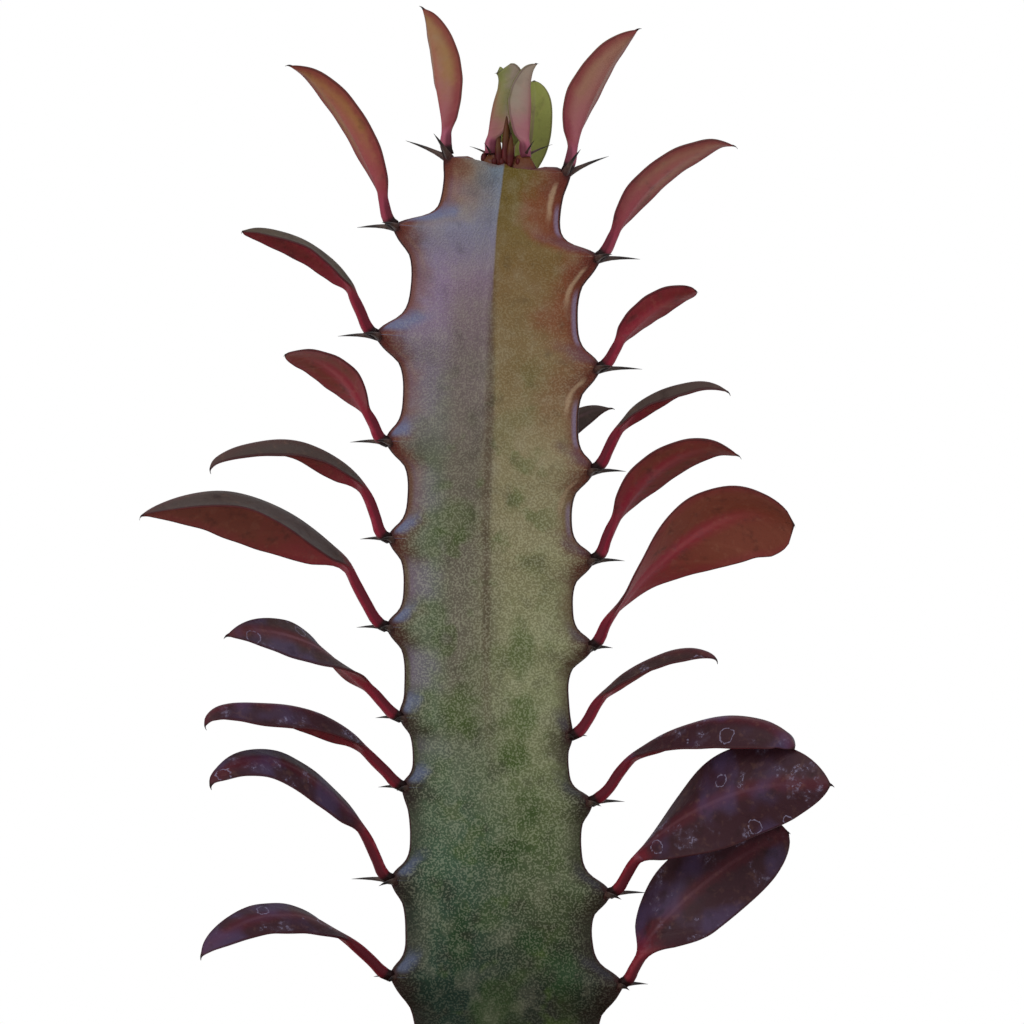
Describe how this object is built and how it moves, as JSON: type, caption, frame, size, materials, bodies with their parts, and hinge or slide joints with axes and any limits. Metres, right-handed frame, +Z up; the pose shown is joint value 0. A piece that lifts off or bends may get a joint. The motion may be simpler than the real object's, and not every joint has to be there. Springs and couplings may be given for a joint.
{
  "type": "potted rubra african milk tree",
  "caption": "Upright ribbed succulent stem with toothed ridges, paired spines and dark red spoon-shaped leaves, growing in potting mix in a plain terracotta pot.",
  "frame": {"origin": "middle of the pot's underside, on the surface it stands on", "axes": "+Z up along the pot's axis, and -Y out of the flat face between the left rib and the right rib"},
  "size_m": [0.1431, 0.1379, 0.3498],
  "materials": {
    "terracotta": "matte",
    "potting_mix": "rough",
    "stem_skin": "satin",
    "leaf": "satin",
    "young_leaf": "satin"
  },
  "bodies": {
    "root": {"pot": "terracotta", "soil": "potting_mix", "stem": "stem_skin", "leaf_left_00": "young_leaf", "leaf_left_01": "leaf", "leaf_left_02": "leaf", "leaf_left_03": "leaf", "leaf_left_04": "leaf", "leaf_left_05": "leaf", "leaf_left_06": "leaf", "leaf_left_07": "leaf", "leaf_left_08": "leaf", "leaf_left_09": "leaf", "leaf_left_10": "leaf", "leaf_right_00": "young_leaf", "leaf_right_01": "leaf", "leaf_right_02": "leaf", "leaf_right_03": "leaf", "leaf_right_04": "leaf", "leaf_right_05": "leaf", "leaf_right_06": "leaf", "leaf_right_07": "leaf", "leaf_right_08": "leaf", "leaf_right_09": "leaf", "leaf_right_10": "leaf", "leaf_back_00": "young_leaf", "leaf_back_01": "leaf", "leaf_back_02": "leaf", "leaf_back_03": "leaf", "leaf_back_04": "leaf", "leaf_back_05": "leaf", "leaf_back_06": "leaf", "leaf_back_07": "leaf", "leaf_back_08": "leaf", "leaf_back_09": "leaf"}
  },
  "joints": []
}
